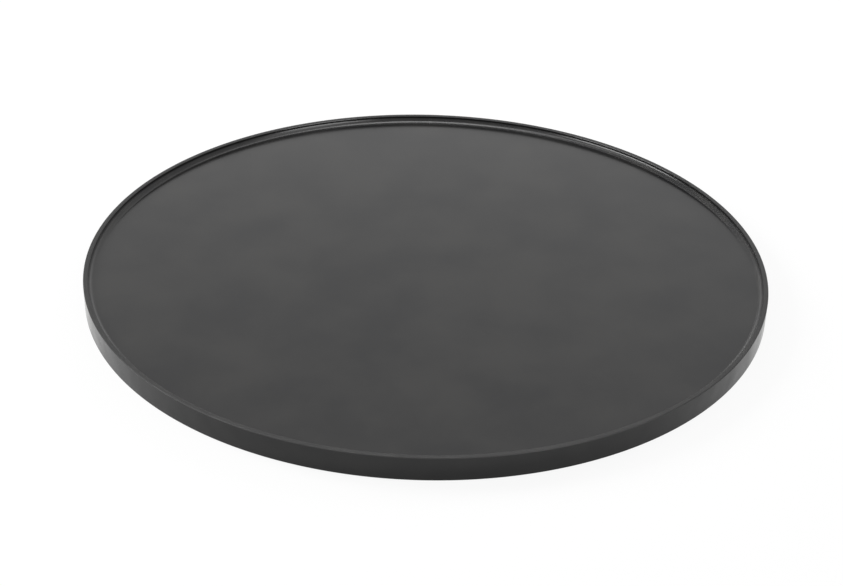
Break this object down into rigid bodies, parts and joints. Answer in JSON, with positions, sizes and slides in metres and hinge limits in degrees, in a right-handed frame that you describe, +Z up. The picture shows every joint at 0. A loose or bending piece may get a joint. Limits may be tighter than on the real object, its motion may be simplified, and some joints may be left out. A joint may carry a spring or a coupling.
{
  "type": "round flat top griddle",
  "caption": "Round flat-top griddle of black-coated steel: a smooth disc welded inside a low rim band, with a stiffened open underside.",
  "frame": {"origin": "centre of the resting plane, under the middle of the disc", "axes": "+Z up out of the cooking face; +Y towards the closing joint of the rim band; +X to the right"},
  "size_m": [0.57, 0.57, 0.02],
  "materials": {
    "coated_plate": "satin",
    "coated_band": "satin",
    "coated_weld": "satin",
    "coated_stiffener": "satin"
  },
  "bodies": {
    "root": {"griddle_plate": "coated_plate", "rim_band": "coated_band", "rim_closing_weld": "coated_band", "rim_corner_weld": "coated_weld", "skirt_stitch_welds": "coated_weld", "stiffener_front": "coated_stiffener", "stiffener_right": "coated_stiffener", "stiffener_back": "coated_stiffener", "stiffener_left": "coated_stiffener", "stiffener_stitch_welds": "coated_weld", "stiffener_lap_welds": "coated_weld"}
  },
  "joints": []
}
